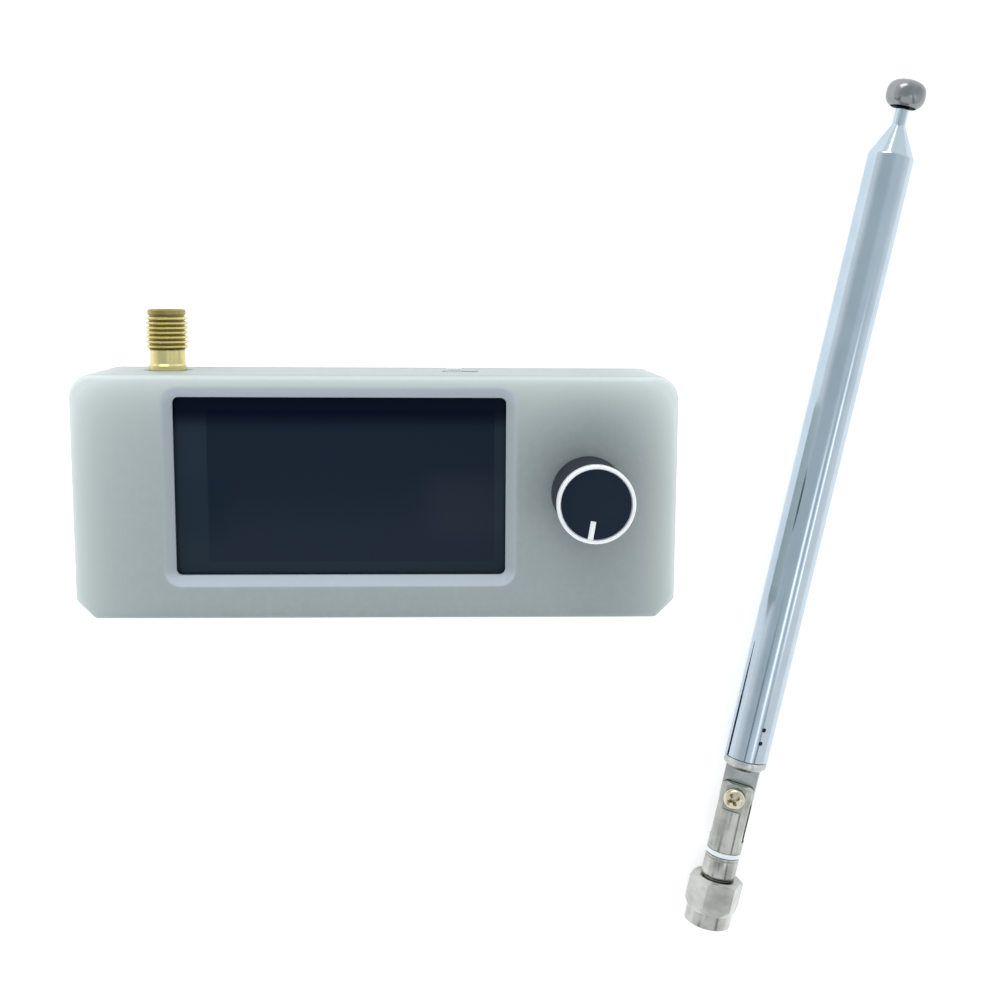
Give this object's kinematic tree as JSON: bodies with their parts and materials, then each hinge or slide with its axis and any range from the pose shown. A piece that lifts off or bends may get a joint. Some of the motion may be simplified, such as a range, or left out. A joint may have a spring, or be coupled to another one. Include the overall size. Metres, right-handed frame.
{
  "type": "spectrum analyzer",
  "caption": "Handheld spectrum analyzer with a colour display, a push-turn knob and a threaded antenna jack, beside its folding telescopic antenna.",
  "frame": {"origin": "centre of the case's flat back face, which lies on the surface", "axes": "+Z is the way the display faces, +Y points to the edge with the antenna jack, +X to the side with the knob"},
  "size_m": [0.1299, 0.1388, 0.033],
  "materials": {
    "board_green": "solder mask",
    "cell_foil": "foil pouch",
    "chrome_plate": "bright",
    "dark_plastic": "moulded",
    "display_black": "glossy, nearly black, switched off",
    "foam_tape": "foam",
    "gasket_silicone": "silicone",
    "gold_plate": "gold plated",
    "knob_anodised": "black anodised with a bright turned rim",
    "knob_black": "black anodised, satin",
    "lead_black": "insulation",
    "lead_red": "insulation",
    "nickel_plate": "nickel plated",
    "pointer_silver": "bright line",
    "resin_white": "semi-matt translucent white resin",
    "screw_steel": "plain",
    "tin_plate": "tin plated",
    "white_plastic": "moulded"
  },
  "bodies": {
    "case": {"battery_cell": "cell_foil", "battery_lead_black": "lead_black", "battery_lead_red": "lead_red", "battery_pad": "foam_tape", "battery_plug": "white_plastic", "battery_socket": "white_plastic", "board_screw_1": "screw_steel", "board_screw_2": "screw_steel", "board_screw_3": "screw_steel", "board_screw_4": "screw_steel", "cover_screw_1": "screw_steel", "cover_screw_2": "screw_steel", "cover_screw_3": "screw_steel", "cover_screw_4": "screw_steel", "display_backlight": "dark_plastic", "display_board": "board_green", "display_flex": "dark_plastic", "display_glass": "display_black", "encoder_base": "dark_plastic", "encoder_frame": "tin_plate", "front_shell": "resin_white", "jack_body": "gold_plate", "jack_contact": "gold_plate", "jack_insulator": "white_plastic", "pin_header_lower": "dark_plastic", "pin_header_upper": "dark_plastic", "processor_can": "tin_plate", "radio_board": "board_green", "radio_can": "tin_plate", "rear_cover": "resin_white", "reference_crystal": "tin_plate", "switch_frame": "tin_plate", "usb_receptacle": "tin_plate", "usb_tongue": "dark_plastic"},
    "plunger": {"encoder_plunger": "dark_plastic"},
    "knob": {"encoder_shaft": "tin_plate", "knob_body": "knob_black", "knob_cap": "knob_anodised", "knob_pointer": "pointer_silver"},
    "power_slider": {"switch_slider": "white_plastic"},
    "plug": {"plug_body": "nickel_plate", "plug_insulator": "white_plastic", "plug_pin": "gold_plate", "plug_gasket": "gasket_silicone"},
    "nut": {"coupling_nut": "nickel_plate"},
    "knuckle": {"knuckle_fork": "nickel_plate", "hinge_screw": "screw_steel", "swivel_washer": "white_plastic"},
    "mast": {"mast_base": "nickel_plate", "mast_tube_1": "chrome_plate"},
    "section_2": {"mast_tube_2": "chrome_plate"},
    "section_3": {"mast_tube_3": "chrome_plate"},
    "section_4": {"mast_tube_4": "chrome_plate"},
    "section_5": {"mast_tube_5": "chrome_plate"},
    "tip": {"mast_rod": "chrome_plate", "tip_button": "chrome_plate"}
  },
  "joints": [
    {"name": "knob_press", "type": "slide", "parent": "case", "child": "plunger", "axis": [0, 0, -1], "range_m": [0, 0.0005], "stiffness_N_per_m": 6000, "springref_m": -0.0003},
    {"name": "knob_turn", "type": "hinge", "parent": "plunger", "child": "knob", "pos_m": [0.0313, 0.001, 0.033], "axis": [0, 0, 1], "continuous": true},
    {"name": "power_switch", "type": "slide", "parent": "case", "child": "power_slider", "axis": [1, 0, 0], "range_m": [0, 0.002]},
    {"name": "antenna_lift", "type": "slide", "parent": "case", "child": "plug", "axis": [0, 0, 1], "range_m": [0, 0.06]},
    {"name": "nut_turn", "type": "hinge", "parent": "plug", "child": "nut", "pos_m": [0.0542, -0.0744, 0.00403], "axis": [0.1994, 0.9799, -0.0033], "continuous": true},
    {"name": "knuckle_swivel", "type": "hinge", "parent": "plug", "child": "knuckle", "pos_m": [0.05679, -0.06166, 0.00398], "axis": [0.1994, 0.9799, -0.0033], "continuous": true},
    {"name": "mast_fold", "type": "hinge", "parent": "knuckle", "child": "mast", "pos_m": [0.05871, -0.05225, 0.00395], "axis": [0.3665, -0.0777, -0.9272], "range_deg": [0, 90]},
    {"name": "section_2_draw", "type": "slide", "parent": "mast", "child": "section_2", "axis": [0.1994, 0.9799, -0.0033], "range_m": [0, 0.078]},
    {"name": "section_3_draw", "type": "slide", "parent": "section_2", "child": "section_3", "axis": [0.1994, 0.9799, -0.0033], "range_m": [0, 0.078]},
    {"name": "section_4_draw", "type": "slide", "parent": "section_3", "child": "section_4", "axis": [0.1994, 0.9799, -0.0033], "range_m": [0, 0.078]},
    {"name": "section_5_draw", "type": "slide", "parent": "section_4", "child": "section_5", "axis": [0.1994, 0.9799, -0.0033], "range_m": [0, 0.078]},
    {"name": "tip_draw", "type": "slide", "parent": "section_5", "child": "tip", "axis": [0.1994, 0.9799, -0.0033], "range_m": [0, 0.078]}
  ]
}
